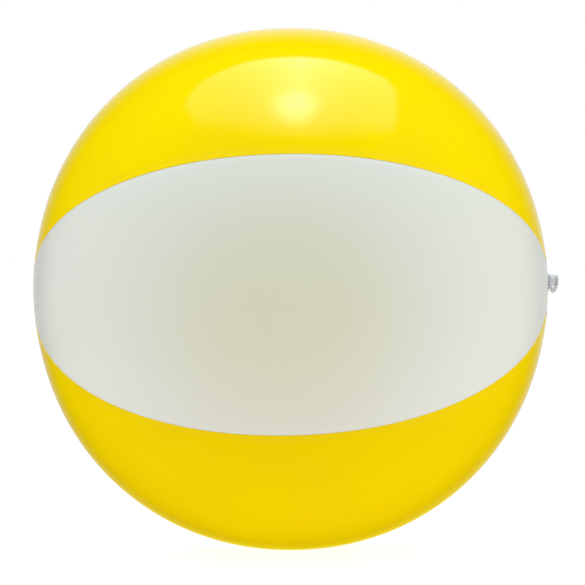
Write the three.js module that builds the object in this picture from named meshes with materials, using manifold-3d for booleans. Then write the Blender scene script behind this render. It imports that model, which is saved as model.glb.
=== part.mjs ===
// An inflated beach ball: six film gores lap-welded into a ball, a film disc over the gore tips
// at each end, and a sink-in air valve with its plug in one of the discs.
// Millimetres, +Z up. The origin is on the floor under the ball's centre. +X runs along the
// ball's polar axis and out through the valve, and the front white gore faces -Y.
import * as THREE from 'three';
import { mergeVertices } from 'three/addons/utils/BufferGeometryUtils.js';
import Module from 'manifold-3d';

// Ball
const EQUATOR_RADIUS = 165; // centre to the outer face of the film at the equator
const POLE_REACH = 162.1; // centre to the outer face of the film at either pole
const MERIDIAN_POWER = 2.062; // 2 would be an ellipse, more is fuller at the shoulders
const FILM = 0.2; // thickness of the vinyl film
const WELD_LAP = 5; // width that yellow lies over white along each seam
const TIP_NARROWING = 5; // each seam leans onto the yellow by this much at the poles
const REST_RADIUS = 16; // flat that the weight presses into the film on the floor
const CLEARANCE = 0.3; // left between pieces that are welded or seated together

// End discs
const DISC_RADIUS = 30;

// Valve, moulded in soft clear vinyl
const VALVE_RISE = 2.8; // height of the valve's axis above the polar axis
const FLANGE_RADIUS = 13;
const FLANGE_THICKNESS = 0.8;
const RECESS_RADIUS = 9; // opening in disc and flange that the valve sinks into
const RECESS_CLEARANCE = 0.8; // left round what sinks into the opening
const TIP_CLEARANCE = 1; // left between the flange and the gore tips round it
const WEB_THICKNESS = 0.5;
const NECK_RADIUS = 3.4;
const NECK_DEPTH = 7.5; // length of the neck inside the ball
const COLLAR_RADIUS = 3.8;
const COLLAR_BASE = 0.9; // underside of the collar above the disc
const COLLAR_HEIGHT = 1.2;
const WAIST_HEIGHT = 0.4; // groove between collar and lip
const LIP_RADIUS = 3.7;
const LIP_HEIGHT = 2.3;
const BORE_RADIUS = 2.4;

// Plug and its strap
const PLUG_FIT = 0.15; // radial gap between shank and bore
const PLUG_HEAD_RADIUS = 3.1;
const PLUG_HEAD_HEIGHT = 1.9;
const PLUG_SHANK_LENGTH = 3.8;
const PLUG_TAPER = 0.5; // bevel at the end of the shank
const STRAP_WIDTH = 2.6;
const STRAP_THICKNESS = 2;
const STRAP_DROP = 1.1; // the strap leaves its root this far below the collar
const LUG_THICKNESS = 1.2; // of the strap's root over the web

// Non-return flap over the inner end of the neck
const FLAP_RADIUS = 3.2;
const FLAP_THICKNESS = 0.5;
const FLAP_HINGE_RISE = 2.8; // height of the flap's hinge line above the valve's axis

// Facets
const ROW_STEP = THREE.MathUtils.degToRad(9); // along the meridian
const COLUMN_STEP = THREE.MathUtils.degToRad(9); // round the polar axis
const DISC_SIDES = 36;
const VALVE_SIDES = 24;
const STRAP_STEPS = 14;

// Worked out from the sizes above
const GORES = [
  ['white_gore_front', 'white'],
  ['yellow_gore_upper', 'yellow'],
  ['white_gore_upper_rear', 'white'],
  ['yellow_gore_rear', 'yellow'],
  ['white_gore_lower_rear', 'white'],
  ['yellow_gore_lower', 'yellow'],
];
const PITCH = (2 * Math.PI) / GORES.length;
const CENTRE_HEIGHT = Math.sqrt(EQUATOR_RADIUS ** 2 - REST_RADIUS ** 2);
const TIP_RADIUS = FLANGE_RADIUS + VALVE_RISE + TIP_CLEARANCE;
const DISC_FACE = POLE_REACH + CLEARANCE + FILM; // outer face of a disc at the pole
const COLLAR_TOP = COLLAR_BASE + COLLAR_HEIGHT;
const LIP_BASE = COLLAR_TOP + WAIST_HEIGHT;
const LIP_TOP = LIP_BASE + LIP_HEIGHT;
const PLUG_HEAD_BASE = LIP_TOP + CLEARANCE;
const PLUG_TOP = PLUG_HEAD_BASE + PLUG_HEAD_HEIGHT;
const SHANK_RADIUS = BORE_RADIUS - PLUG_FIT;
const LUG_REACH = RECESS_RADIUS - RECESS_CLEARANCE;

const FINISHES = {
  yellow: { color: 0xf8dc00, roughness: 0.28, metalness: 0 },
  white: { color: 0xdfe1d8, roughness: 0.28, metalness: 0 },
  valve: { color: 0xb4babd, roughness: 0.35, metalness: 0 },
};

const wasm = await Module();
wasm.setup();

// Solids for joining and cutting

function toSolid(geometry) {
  const bare = geometry.clone();
  bare.deleteAttribute('normal');
  bare.deleteAttribute('uv');
  const merged = mergeVertices(bare, 1e-4);
  const corners = merged.index.array;
  const kept = [];
  for (let i = 0; i < corners.length; i += 3) {
    const [a, b, c] = [corners[i], corners[i + 1], corners[i + 2]];
    if (a !== b && b !== c && c !== a) kept.push(a, b, c);
  }
  return new wasm.Manifold(new wasm.Mesh({
    numProp: 3,
    vertProperties: new Float32Array(merged.attributes.position.array),
    triVerts: new Uint32Array(kept),
  }));
}

function toGeometry(solid) {
  const { vertProperties, triVerts } = solid.getMesh();
  return indexedGeometry(vertProperties, triVerts);
}

function indexedGeometry(positions, corners) {
  const geometry = new THREE.BufferGeometry();
  geometry.setAttribute('position', new THREE.Float32BufferAttribute(positions, 3));
  geometry.setIndex(Array.from(corners));
  geometry.computeVertexNormals();
  return geometry;
}

// A solid turned round the X axis, from its profile of [radius, x] points in order of rising x
// on the outside.
function turned(profile, sides) {
  const points = profile.map(([radius, x]) => new THREE.Vector2(radius, x));
  return new THREE.LatheGeometry(points, sides).rotateZ(-Math.PI / 2);
}

// A ring turned round the X axis: its outside points in order of rising x, then its inside
// points in order of falling x.
function turnedRing(profile, sides) {
  return turned([...profile, profile[0]], sides);
}

// The shape drawn in x and z, as thick as width and centred on y = 0.
function plate(points, width) {
  const shape = new THREE.Shape(points.map(([x, z]) => new THREE.Vector2(x, z)));
  const geometry = new THREE.ExtrudeGeometry(shape, { depth: width, bevelEnabled: false });
  return geometry.translate(0, 0, -width / 2).rotateX(Math.PI / 2);
}

function spread(from, to, step) {
  const count = Math.max(1, Math.round(Math.abs(to - from) / step));
  return Array.from({ length: count + 1 }, (_, i) => from + ((to - from) * i) / count);
}

// Film surface

// A point of the meridian and its outward normal, in distance along the polar axis and radius.
function meridian(angle) {
  const reach = Math.abs(Math.sin(angle)) ** (2 / MERIDIAN_POWER);
  const girth = Math.abs(Math.cos(angle)) ** (2 / MERIDIAN_POWER);
  const side = Math.sign(Math.sin(angle));
  const normal = new THREE.Vector2(
    (side * reach ** (MERIDIAN_POWER - 1)) / POLE_REACH,
    girth ** (MERIDIAN_POWER - 1) / EQUATOR_RADIUS,
  ).normalize();
  return { x: side * POLE_REACH * reach, radius: EQUATOR_RADIUS * girth, normal };
}

const angleAtRadius = (radius) => Math.acos((radius / EQUATOR_RADIUS) ** (MERIDIAN_POWER / 2));
const angleAtReach = (x) => Math.asin((x / POLE_REACH) ** (MERIDIAN_POWER / 2));

// The same point at a depth under the film's outer face.
function offsetMeridian(angle, depth) {
  const { x, radius, normal } = meridian(angle);
  return [radius - normal.y * depth, x - normal.x * depth];
}

// A point of the film. turn goes from -Y up towards +Z, and the floor flattens the film.
function filmPoint(angle, turn, depth) {
  const [radius, x] = offsetMeridian(angle, depth);
  const height = CENTRE_HEIGHT + radius * Math.sin(turn);
  return new THREE.Vector3(x, -radius * Math.cos(turn), Math.max(height, depth));
}

const TIP_ANGLE = angleAtRadius(TIP_RADIUS);
const DISC_ANGLE = angleAtRadius(DISC_RADIUS);
const DISC_ROWS = spread(TIP_ANGLE, DISC_ANGLE, ROW_STEP / 2);
const REST_LINES = [REST_RADIUS * Math.SQRT1_2, REST_RADIUS];

// Rows of a gore along the meridian, from one tip to the other.
const HALF_ROWS = [
  angleAtReach(REST_LINES[0]),
  ...spread(angleAtReach(REST_LINES[1]), DISC_ANGLE, ROW_STEP),
  ...DISC_ROWS.slice(0, -1).reverse(),
];
const GORE_ROWS = [...HALF_ROWS.map((angle) => -angle).reverse(), 0, ...HALF_ROWS];

// Gores

// A line along the gore, at a distance past the middle of the seam that is the same all the way.
// The white gores are cut wider toward the tips than the yellow ones.
function seamLine(colour, past) {
  const lean = colour === 'white' ? TIP_NARROWING : -TIP_NARROWING;
  return (radius) => PITCH / 2 + (lean * (1 - radius / EQUATOR_RADIUS) + past) / radius;
}

// Lines from the gore's flat part to its edge. Yellow runs on over the seam, and white steps
// down by the film and runs on under it.
function edgeLines(colour) {
  const edge = seamLine(colour, WELD_LAP / 2);
  if (colour === 'yellow') {
    const lap = seamLine(colour, -WELD_LAP / 2);
    return [
      { outer: lap, inner: lap, depth: 0 },
      { outer: edge, inner: edge, depth: 0 },
    ];
  }
  const stepOuter = seamLine(colour, -WELD_LAP / 2 - CLEARANCE);
  const stepInner = seamLine(colour, -WELD_LAP / 2 - CLEARANCE - FILM);
  const under = FILM + CLEARANCE;
  return [
    { outer: stepOuter, inner: stepInner, depth: 0 },
    { outer: stepOuter, inner: stepInner, depth: under },
    { outer: edge, inner: edge, depth: under },
  ];
}

// Turns of the lines between the two edges, as shares of the flat part's half width, with the
// lines that bound the flat on the floor where the gore reaches it.
function flatShares(half, middle) {
  const down = -Math.PI / 2;
  const rest = REST_LINES.flatMap((line) => [-line, line])
    .map((line) => down + line / EQUATOR_RADIUS - middle)
    .map((turn) => Math.atan2(Math.sin(turn), Math.cos(turn)))
    .filter((turn) => Math.abs(turn) < half);
  const even = spread(-half, half, COLUMN_STEP).slice(1, -1)
    .filter((turn) => rest.every((line) => Math.abs(turn - line) > COLUMN_STEP / 2));
  return [...even, ...rest].sort((a, b) => a - b).map((turn) => turn / half);
}

function goreLines(colour, middle) {
  const right = edgeLines(colour);
  const flip = (line) => (radius) => -line(radius);
  const left = right.map(({ outer, inner, depth }) => (
    { outer: flip(outer), inner: flip(inner), depth })).reverse();
  const flat = flatShares(right[0].outer(EQUATOR_RADIUS), middle).map((share) => ({
    outer: (radius) => share * right[0].outer(radius),
    inner: (radius) => share * right[0].inner(radius),
    depth: 0,
  }));
  return [...left, ...flat, ...right];
}

function goreGeometry(colour, middle) {
  const lines = goreLines(colour, middle);
  const last = lines.length - 1;
  const positions = [];
  const corners = [];
  const grids = ['outer', 'inner'].map((face) => GORE_ROWS.map((angle) => lines.map((line) => {
    const turn = middle + line[face](meridian(angle).radius);
    const depth = face === 'outer' ? line.depth : line.depth + FILM;
    positions.push(...filmPoint(angle, turn, depth).toArray());
    return positions.length / 3 - 1;
  })));
  const [outer, inner] = grids;
  const centre = new THREE.Vector3(0, 0, CENTRE_HEIGHT);
  const at = (index) => new THREE.Vector3().fromArray(positions, 3 * index);
  const bulge = (a, b) => at(a).lerp(at(b), 0.5).distanceTo(centre);
  const quad = (a, b, c, d) => corners.push(a, b, c, a, c, d);

  for (let i = 0; i + 1 < GORE_ROWS.length; i += 1) {
    for (let j = 0; j < last; j += 1) {
      const cell = (grid) => [grid[i][j], grid[i + 1][j], grid[i + 1][j + 1], grid[i][j + 1]];
      const [a, b, c, d] = cell(outer);
      const [e, f, g, h] = cell(inner);
      if (bulge(a, c) >= bulge(b, d)) {
        quad(a, b, c, d);
        quad(g, f, e, h);
      } else {
        quad(b, c, d, a);
        quad(f, e, h, g);
      }
    }
    quad(outer[i + 1][0], outer[i][0], inner[i][0], inner[i + 1][0]);
    quad(outer[i][last], outer[i + 1][last], inner[i + 1][last], inner[i][last]);
  }
  for (let j = 0; j < last; j += 1) {
    const end = GORE_ROWS.length - 1;
    quad(outer[0][j], outer[0][j + 1], inner[0][j + 1], inner[0][j]);
    quad(outer[end][j + 1], outer[end][j], inner[end][j], inner[end][j + 1]);
  }
  return indexedGeometry(positions, corners);
}

// End discs, turned about the polar axis and lying on the gores

function discGeometry() {
  const rows = [...DISC_ROWS].reverse();
  const face = (depth) => rows.map((angle) => offsetMeridian(angle, depth));
  const lower = [...face(-CLEARANCE).reverse()];
  const upper = face(-CLEARANCE - FILM);
  const axis = (depth) => [0, POLE_REACH - depth];
  return turned(
    [axis(-CLEARANCE), ...lower, ...upper, axis(-CLEARANCE - FILM)],
    DISC_SIDES,
  );
}

function valveDiscGeometry() {
  const hole = new THREE.CylinderGeometry(
    RECESS_RADIUS, RECESS_RADIUS, POLE_REACH, DISC_SIDES,
  ).rotateZ(-Math.PI / 2).translate(POLE_REACH, 0, VALVE_RISE);
  return toGeometry(toSolid(discGeometry()).subtract(toSolid(hole)));
}

// Valve, turned about its own axis with x = 0 at the outer face of the disc

// The flange is flat, so it lies a clearance under the disc at its rim.
const FLANGE_TOP = meridian(angleAtRadius(FLANGE_RADIUS + VALVE_RISE)).x - DISC_FACE;
const FLANGE_BASE = FLANGE_TOP - FLANGE_THICKNESS;
const WEB_OUTER_RADIUS = RECESS_RADIUS - CLEARANCE;
const WEB_INNER_RADIUS = NECK_RADIUS + CLEARANCE;
const WEB_RIM_TOP = (FLANGE_TOP + FLANGE_BASE + WEB_THICKNESS) / 2;
const WEB_CROWN = COLLAR_BASE - CLEARANCE;

// Height of the web's upper face, which rises from the flange to the underside of the collar.
function webTop(radius) {
  const share = (WEB_OUTER_RADIUS - radius) / (WEB_OUTER_RADIUS - WEB_INNER_RADIUS);
  return WEB_RIM_TOP + (WEB_CROWN - WEB_RIM_TOP) * share;
}

function flangeGeometry() {
  return turnedRing([
    [FLANGE_RADIUS, FLANGE_BASE],
    [FLANGE_RADIUS, FLANGE_TOP],
    [RECESS_RADIUS, FLANGE_TOP],
    [RECESS_RADIUS, FLANGE_BASE],
  ], DISC_SIDES);
}

function webGeometry() {
  return turnedRing([
    [WEB_OUTER_RADIUS, WEB_RIM_TOP - WEB_THICKNESS],
    [WEB_OUTER_RADIUS, WEB_RIM_TOP],
    [WEB_INNER_RADIUS, WEB_CROWN],
    [WEB_INNER_RADIUS, WEB_CROWN - WEB_THICKNESS],
  ], DISC_SIDES);
}

// The strap's root lies below the collar, just clear of the web, and the strap hangs from the
// underside of its shoulder.
const LUG_INSIDE = -(BORE_RADIUS + NECK_RADIUS) / 2;
const STRAP_ROOT = COLLAR_RADIUS + STRAP_DROP;
const lugBase = (reach) => webTop(reach) + CLEARANCE;
const lugFace = (reach) => lugBase(reach) + LUG_THICKNESS;
const STRAP_NEAR = lugFace(STRAP_ROOT) + CLEARANCE; // the strap's side next to the root

function stemGeometry() {
  const tube = turnedRing([
    [NECK_RADIUS, -NECK_DEPTH],
    [NECK_RADIUS, COLLAR_BASE],
    [COLLAR_RADIUS, COLLAR_BASE],
    [COLLAR_RADIUS, COLLAR_TOP],
    [NECK_RADIUS, COLLAR_TOP],
    [NECK_RADIUS, LIP_BASE],
    [LIP_RADIUS, LIP_BASE],
    [LIP_RADIUS, LIP_TOP],
    [BORE_RADIUS, LIP_TOP],
    [BORE_RADIUS, -NECK_DEPTH],
  ], VALVE_SIDES);
  const lug = plate([
    [COLLAR_BASE, LUG_INSIDE],
    [lugBase(COLLAR_RADIUS), -COLLAR_RADIUS],
    [lugBase(LUG_REACH), -LUG_REACH],
    [lugFace(LUG_REACH), -LUG_REACH],
    [lugFace(STRAP_ROOT), -STRAP_ROOT],
    [STRAP_NEAR + STRAP_THICKNESS, -STRAP_ROOT],
    [COLLAR_TOP, -COLLAR_RADIUS],
    [COLLAR_TOP, LUG_INSIDE],
  ], STRAP_WIDTH);
  return toGeometry(toSolid(tube).add(toSolid(lug)));
}

function plugGeometry() {
  const end = LIP_TOP - PLUG_SHANK_LENGTH;
  return turned([
    [0, end],
    [SHANK_RADIUS - PLUG_TAPER, end],
    [SHANK_RADIUS, end + PLUG_TAPER],
    [SHANK_RADIUS, PLUG_HEAD_BASE],
    [PLUG_HEAD_RADIUS, PLUG_HEAD_BASE],
    [PLUG_HEAD_RADIUS, PLUG_TOP],
    [0, PLUG_TOP],
  ], VALVE_SIDES);
}

// The strap hangs from its root, sags to the depth that the recess can take, and comes up
// under the head of the plug.
function strapGeometry() {
  const root = new THREE.Vector2(STRAP_NEAR + STRAP_THICKNESS / 2, -STRAP_ROOT - CLEARANCE);
  const head = new THREE.Vector2(
    PLUG_HEAD_BASE + PLUG_HEAD_HEIGHT / 2,
    -PLUG_HEAD_RADIUS - CLEARANCE,
  );
  const lowest = -LUG_REACH + STRAP_THICKNESS / 2;
  const pull = (8 * lowest - root.y - head.y) / 6; // brings the curve's middle to its lowest
  const path = new THREE.CubicBezierCurve(
    root,
    new THREE.Vector2(root.x, pull),
    new THREE.Vector2(head.x, pull),
    head,
  );
  const sides = [1, -1].map((side) => Array.from({ length: STRAP_STEPS + 1 }, (_, i) => {
    const along = path.getTangent(i / STRAP_STEPS);
    const point = path.getPoint(i / STRAP_STEPS);
    const half = (side * STRAP_THICKNESS) / 2;
    return [point.x - along.y * half, point.y + along.x * half];
  }));
  return plate([...sides[0], ...sides[1].reverse()], STRAP_WIDTH);
}

// A round flap cut straight at its hinge line, against the inner end of the neck.
function flapGeometry() {
  const cut = Math.asin(FLAP_HINGE_RISE / FLAP_RADIUS);
  const shape = new THREE.Shape();
  shape.absarc(0, 0, FLAP_RADIUS, Math.PI - cut, 2 * Math.PI + cut, false);
  const geometry = new THREE.ExtrudeGeometry(shape, {
    depth: FLAP_THICKNESS, bevelEnabled: false, curveSegments: VALVE_SIDES,
  });
  const face = -NECK_DEPTH - CLEARANCE - FLAP_THICKNESS;
  return geometry.rotateX(Math.PI / 2).rotateZ(Math.PI / 2).translate(face, 0, 0);
}

// The whole ball

function piece(name, geometry, finish) {
  const mesh = new THREE.Mesh(geometry, new THREE.MeshStandardMaterial(FINISHES[finish]));
  mesh.name = name;
  return mesh;
}

const ball = new THREE.Group();

GORES.forEach(([name, colour], index) => {
  ball.add(piece(name, goreGeometry(colour, index * PITCH), colour));
});

const ends = new THREE.Group();
ends.position.z = CENTRE_HEIGHT;
const blindDisc = piece('blind_end_disc', discGeometry(), 'white');
blindDisc.rotation.z = Math.PI;
ends.add(piece('valve_end_disc', valveDiscGeometry(), 'white'), blindDisc);
ball.add(ends);

const valve = new THREE.Group();
valve.position.set(DISC_FACE, 0, VALVE_RISE);
valve.add(
  piece('valve_flange', flangeGeometry(), 'valve'),
  piece('valve_web', webGeometry(), 'valve'),
  piece('valve_stem', stemGeometry(), 'valve'),
  piece('valve_plug', plugGeometry(), 'valve'),
  piece('plug_strap', strapGeometry(), 'valve'),
  piece('check_flap', flapGeometry(), 'valve'),
);
ends.add(valve);

export default ball;
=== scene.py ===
# %% [markdown]
# # An inflated beach ball
# Six long pieces of thin vinyl film, called gores, are welded edge over edge into a ball. A round
# disc of film closes each end, and one disc carries a soft moulded air valve with a plug.
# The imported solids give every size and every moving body. This lesson lays finer meshes over
# them, one piece for each solid, and then gives the film and the moulding their finishes.

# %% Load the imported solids
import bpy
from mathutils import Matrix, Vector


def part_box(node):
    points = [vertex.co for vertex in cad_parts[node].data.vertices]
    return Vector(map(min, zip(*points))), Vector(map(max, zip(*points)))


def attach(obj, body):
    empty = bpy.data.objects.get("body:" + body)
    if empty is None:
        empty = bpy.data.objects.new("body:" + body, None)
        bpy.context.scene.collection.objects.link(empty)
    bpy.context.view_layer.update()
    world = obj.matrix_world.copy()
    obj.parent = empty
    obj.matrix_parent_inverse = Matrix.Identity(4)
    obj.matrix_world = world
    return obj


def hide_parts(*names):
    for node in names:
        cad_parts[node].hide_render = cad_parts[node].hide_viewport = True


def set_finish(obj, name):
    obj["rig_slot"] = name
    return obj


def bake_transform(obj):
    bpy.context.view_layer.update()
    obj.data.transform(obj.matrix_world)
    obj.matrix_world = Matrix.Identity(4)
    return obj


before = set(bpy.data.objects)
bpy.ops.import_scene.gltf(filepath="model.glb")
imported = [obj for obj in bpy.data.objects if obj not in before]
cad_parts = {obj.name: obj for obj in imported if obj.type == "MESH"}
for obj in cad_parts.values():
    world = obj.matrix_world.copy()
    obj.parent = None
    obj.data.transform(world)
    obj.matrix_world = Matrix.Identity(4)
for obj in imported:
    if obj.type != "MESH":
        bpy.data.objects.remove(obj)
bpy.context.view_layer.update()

import math

import bmesh
import bpy
import numpy as np
from mathutils import Matrix, Vector

MM = 0.001

# %% [markdown]
# ## Camera
# The ball is seen from the front, a little from the valve's side and a little from above, with
# a long lens. The camera could be aimed with a constraint, but three axes written out as the
# columns of its matrix also hold the slight roll, so the matrix is set once and stays.

# %% Camera
VIEW_DISTANCE = 1.366
VIEW_AZIMUTH = math.radians(1.23)
VIEW_ELEVATION = math.radians(1.41)
VIEW_ROLL = math.radians(1.0)
AIM_RIGHT = 1.1 * MM
AIM_DOWN = 2.2 * MM
LENS = 132.1
SENSOR_WIDTH = 36

disc_low, disc_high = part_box("blind_end_disc")
centre_height = (disc_low.z + disc_high.z) / 2
ball_centre = Vector((0, 0, centre_height))

back = Vector((
    math.sin(VIEW_AZIMUTH) * math.cos(VIEW_ELEVATION),
    -math.cos(VIEW_AZIMUTH) * math.cos(VIEW_ELEVATION),
    math.sin(VIEW_ELEVATION),
))
level = Vector((math.cos(VIEW_AZIMUTH), math.sin(VIEW_AZIMUTH), 0))
upright = back.cross(level)
right = level * math.cos(VIEW_ROLL) - upright * math.sin(VIEW_ROLL)
up = level * math.sin(VIEW_ROLL) + upright * math.cos(VIEW_ROLL)

camera = bpy.data.objects.new("camera", bpy.data.cameras.new("camera"))
camera.data.lens = LENS
camera.data.sensor_width = SENSOR_WIDTH
place = ball_centre + back * VIEW_DISTANCE + right * AIM_RIGHT - up * AIM_DOWN
camera.matrix_world = (
    Matrix.Translation(place) @ Matrix((right, up, back)).transposed().to_4x4()
)
bpy.context.collection.objects.link(camera)
bpy.context.scene.camera = camera
print("camera at", [round(value, 3) for value in place])

# %% [markdown]
# ## Making a piece
# Every piece below is a mesh written point by point. One helper turns points and faces into an
# object, makes the faces look outwards, smooths them up to a sharp angle, and then says which
# body carries the piece, which solid it stands for and which finish it takes.

# %% Piece helper
SHARP_EDGE = math.radians(38)


def mesh_object(name, points, faces):
    mesh = bpy.data.meshes.new(name)
    mesh.from_pydata([tuple(point) for point in points], [], faces)
    shell = bmesh.new()
    shell.from_mesh(mesh)
    bmesh.ops.recalc_face_normals(shell, faces=shell.faces)
    shell.to_mesh(mesh)
    shell.free()
    piece = bpy.data.objects.new(name, mesh)
    bpy.context.collection.objects.link(piece)
    return piece


def finish_piece(piece, node, slot, body=None):
    piece.data.shade_smooth()
    piece.data.set_sharp_from_angle(angle=SHARP_EDGE)
    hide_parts(node)
    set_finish(piece, slot)
    if body:
        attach(piece, body)
    print(piece.name, "for", node, len(piece.data.polygons), "faces")
    return piece


print("edges over", round(math.degrees(SHARP_EDGE)), "degrees stay sharp")

# %% [markdown]
# ## The form of the ball
# Air pressure makes the ball nearly a sphere. It is a touch shorter from pole to pole and a touch
# fuller at the shoulders, which one curve describes: an ellipse whose power is a little over 2,
# turned about the polar axis. A point of the film is found from its angle along that curve, its
# turn round the axis and its depth under the outer face. Where the ball lies on the floor its
# weight presses a small flat, so heights are eased to the floor there.

# %% Surface of the film
MERIDIAN_POWER = 2.062
FILM = 0.2 * MM
DISC_STANDOFF = 0.5 * MM
FLOOR_EASE = 0.12 * MM

equator_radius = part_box("yellow_gore_rear")[1].y
disc_face = -disc_low.x
pole_reach = disc_face - DISC_STANDOFF


def meridian(angle):
    reach = np.abs(np.sin(angle)) ** (2 / MERIDIAN_POWER)
    girth = np.abs(np.cos(angle)) ** (2 / MERIDIAN_POWER)
    side = np.sign(np.sin(angle))
    lean = side * reach ** (MERIDIAN_POWER - 1) / pole_reach
    swell = girth ** (MERIDIAN_POWER - 1) / equator_radius
    size = np.hypot(lean, swell)
    return side * pole_reach * reach, equator_radius * girth, lean / size, swell / size


def angle_at(radius):
    return np.arccos((radius / equator_radius) ** (MERIDIAN_POWER / 2))


def film_points(angle, turn, depth):
    x, radius, lean, swell = meridian(angle)
    radius = radius - swell * depth
    inside = np.maximum(depth, 0)
    over_floor = centre_height + radius * np.sin(turn) - inside
    eased = (over_floor + np.sqrt(over_floor**2 + FLOOR_EASE**2)) / 2
    return np.stack([x - lean * depth, -radius * np.cos(turn), eased + inside], axis=-1)


print("equator radius", round(equator_radius, 4), "pole reach", round(pole_reach, 4))

# %% [markdown]
# ## Small swells of the film
# Flat film can't follow a round form without a little crowding. Next to a weld it swells in
# short, shallow waves along the seam, and round an end disc, where six tips meet, in waves that
# point at the pole. Bump in a shader would show these only as shade, so they are moved in the
# mesh. Both films of a lap read the same function, and so they swell together and never cross.

# %% Swells
SEAM_WAVE = 14 * MM
SEAM_SWELL = 0.05 * MM
SEAM_REACH = 7 * MM
SEAM_SHIFT = 2.1
SEAM_DRIFT = 3.3
POLE_WAVES = 26
POLE_SWELL = 0.2 * MM
POLE_START = 31 * MM
POLE_FULL = 37 * MM
POLE_FADE = 9 * MM
POLE_DRIFT = 0.8
POLE_DRIFTS = 3


def ramp(value, start, end):
    share = np.clip((value - start) / (end - start), 0, 1)
    return share * share * (3 - 2 * share)


def swell_out(along, past, seam, radius, turn):
    drift = np.sin(along / (SEAM_DRIFT * SEAM_WAVE))
    phase = along / SEAM_WAVE * math.tau + SEAM_SHIFT * seam + drift
    by_seam = SEAM_SWELL * np.exp(-((past / SEAM_REACH) ** 2)) * np.sin(phase)
    fade = ramp(radius, POLE_START, POLE_FULL) * np.exp(-np.abs(radius - POLE_FULL) / POLE_FADE)
    drift = POLE_DRIFT * np.sin(POLE_DRIFTS * turn)
    by_pole = POLE_SWELL * fade * np.cos(POLE_WAVES * turn + drift)
    return by_seam * ramp(radius, POLE_START, 2 * POLE_START) + by_pole


print("swells up to", SEAM_SWELL / MM, "mm by a seam and", POLE_SWELL / MM, "mm by a disc")

# %% [markdown]
# ## Gores
# Each gore is one strip of film, widest at the equator and narrow at the tips. On this ball the
# yellow strips lie on top: their edges run a few millimetres past the middle of the seam, and
# the white strips dip by one thickness of film and run on underneath, where both are welded.
# Toward the tips the white strips are cut a little wider than the yellow ones, so each seam leans
# onto the yellow. A strip is a grid of rows along the meridian and columns across. The columns
# next to the edge keep their distance from the seam, so that the lap is equally wide all the way.
# The grid is made twice, for the outer and the inner face, and closed round its edge. Each point
# also keeps its distance past the seam and along it, which the finish uses for the weld's print.

# %% Gore grid
GORES = [
    "white_gore_front", "yellow_gore_upper", "white_gore_upper_rear",
    "yellow_gore_rear", "white_gore_lower_rear", "yellow_gore_lower",
]
PITCH = math.tau / len(GORES)
TIP_RADIUS = 16.8 * MM
TIP_NARROWING = 5 * MM
ROWS = 200
FLAT_COLUMNS = 30
NARROW = 13 * MM
UNDER = 0.23

# Millimetres past the middle of the seam, and millimetres of depth
YELLOW_EDGE = [
    (-9, 0), (-7, 0), (-5.2, 0), (-3.8, 0), (-2.5, 0), (-1.2, 0), (0, 0), (1.2, 0),
    (2.1, 0), (2.42, 0.01), (2.5, 0.05),
]
WHITE_EDGE = [
    (-12, 0), (-9.5, 0), (-7.5, 0), (-5.8, 0), (-4.9, 0.02), (-4.2, 0.075), (-3.6, 0.15),
    (-3, 0.21), (-2.62, UNDER), (-2.2, UNDER), (0, UNDER), (2.5, UNDER),
]


def seam_turn(colour, radius):
    lean = TIP_NARROWING * (1 - radius / equator_radius)
    return PITCH / 2 + (lean if colour == "white" else -lean) / radius


def gore_columns(colour, radius):
    edge = YELLOW_EDGE if colour == "yellow" else WHITE_EDGE
    middle = seam_turn(colour, radius)
    squeeze = np.minimum(1, radius * seam_turn("yellow", radius) / NARROW)
    sides = [middle + past * MM * squeeze / radius for past, _ in edge]
    shares = np.linspace(-1, 1, FLAT_COLUMNS + 1)[1:-1]
    flat = [share * sides[0] for share in shares]
    turns = [-side for side in reversed(sides)] + flat + sides
    depths = [depth for _, depth in reversed(edge)] + [0] * len(flat) + [d for _, d in edge]
    return np.concatenate(turns, axis=1), np.array(depths) * MM


def closed_grid(outer, inner):
    rows, columns = outer.shape[:2]
    points = np.concatenate([outer.reshape(-1, 3), inner.reshape(-1, 3)])
    half = rows * columns
    faces = []
    for i in range(rows - 1):
        for j in range(columns - 1):
            a = i * columns + j
            quad = [a, a + 1, a + columns + 1, a + columns]
            faces.append(quad)
            faces.append([half + corner for corner in reversed(quad)])
    loop = list(range(columns))
    loop += [i * columns + columns - 1 for i in range(1, rows)]
    loop += [(rows - 1) * columns + j for j in range(columns - 2, -1, -1)]
    loop += [i * columns for i in range(rows - 2, 0, -1)]
    for a, b in zip(loop, loop[1:] + loop[:1]):
        faces.append([b, a, half + a, half + b])
    return points, faces


print(len(GORES), "gores of", round(math.degrees(PITCH)), "degrees each")

# %% Six gores
tip_angle = float(angle_at(TIP_RADIUS))
row_angles = np.linspace(-tip_angle, tip_angle, ROWS)[:, None]


def keep_measure(piece, name, values):
    measure = piece.data.attributes.new(name, "FLOAT", "POINT")
    measure.data.foreach_set("value", np.tile(values.ravel(), 2).astype(np.float32))


def make_gore(number, node):
    radius = meridian(row_angles)[1]
    colour = node.split("_")[0]
    local, depth = gore_columns(colour, radius)
    past = (np.abs(local) - seam_turn(colour, radius)) * radius
    along = np.broadcast_to(row_angles * equator_radius, local.shape)
    turn = local + number * PITCH
    seam = np.where(local > 0, number, (number - 1) % len(GORES))
    depth = depth[None, :] - swell_out(along, past, seam, radius, turn)
    outer = film_points(row_angles, turn, depth)
    inner = film_points(row_angles, turn, depth + FILM)
    piece = mesh_object("film_" + node.replace("_gore", ""), *closed_grid(outer, inner))
    keep_measure(piece, "past_seam", past)
    keep_measure(piece, "along_seam", along)
    return finish_piece(piece, node, colour + "_film", "ball")


gores = [make_gore(number, node) for number, node in enumerate(GORES)]

# %% [markdown]
# ## End discs
# A disc of white film is welded over the six tips at each end. It takes the form of the film
# below it, with two pressed rings near its rim from the welding tool, and six faint ridges where
# the laps of the gores lie underneath. The disc at the valve has a round opening, which isn't
# quite in its middle, so its grid runs from the opening's edge out to the rim.

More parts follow.
